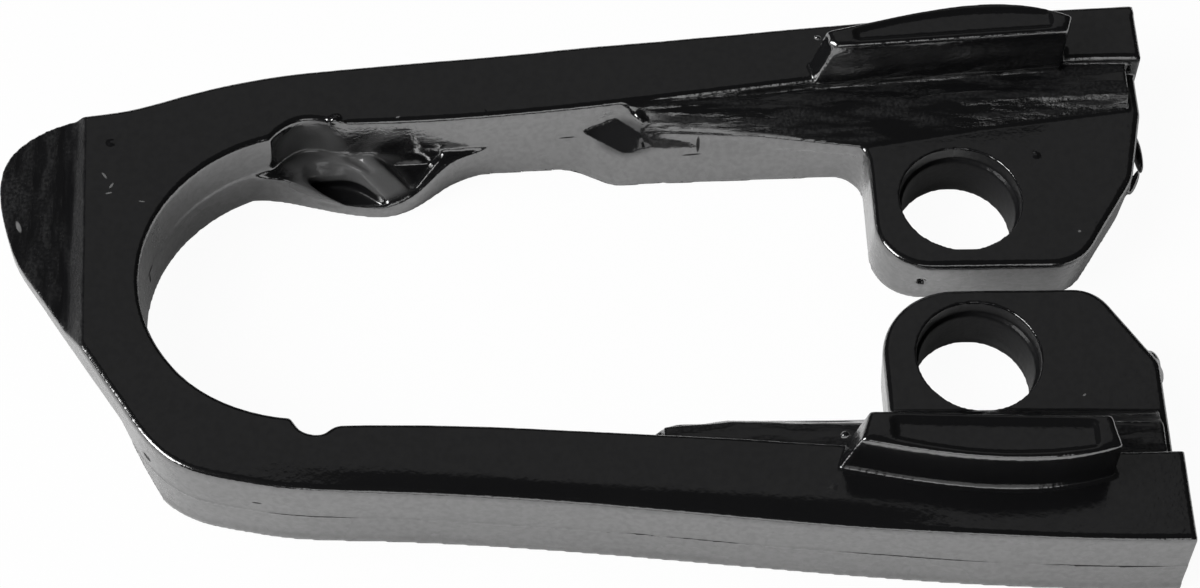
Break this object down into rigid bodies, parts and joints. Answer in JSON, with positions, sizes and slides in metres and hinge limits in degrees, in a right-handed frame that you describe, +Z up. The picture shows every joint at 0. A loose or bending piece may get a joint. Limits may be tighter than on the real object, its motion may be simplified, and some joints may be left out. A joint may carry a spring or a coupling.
{
  "type": "chain slider",
  "caption": "Moulded rubber chain slider that straps round the front of a motorbike swingarm, with two counterbored fastening tabs and raised chain guides.",
  "frame": {"origin": "middle of the underside of the bounding box", "axes": "+X from the nose towards the ends of the legs, +Z up from the flat underside, +Y towards the leg with the inner lobe"},
  "size_m": [0.261, 0.1422, 0.035],
  "materials": {
    "rubber": "gloss black, worn matt on the nose"
  },
  "bodies": {
    "root": {"chain_slider": "rubber"}
  },
  "joints": []
}
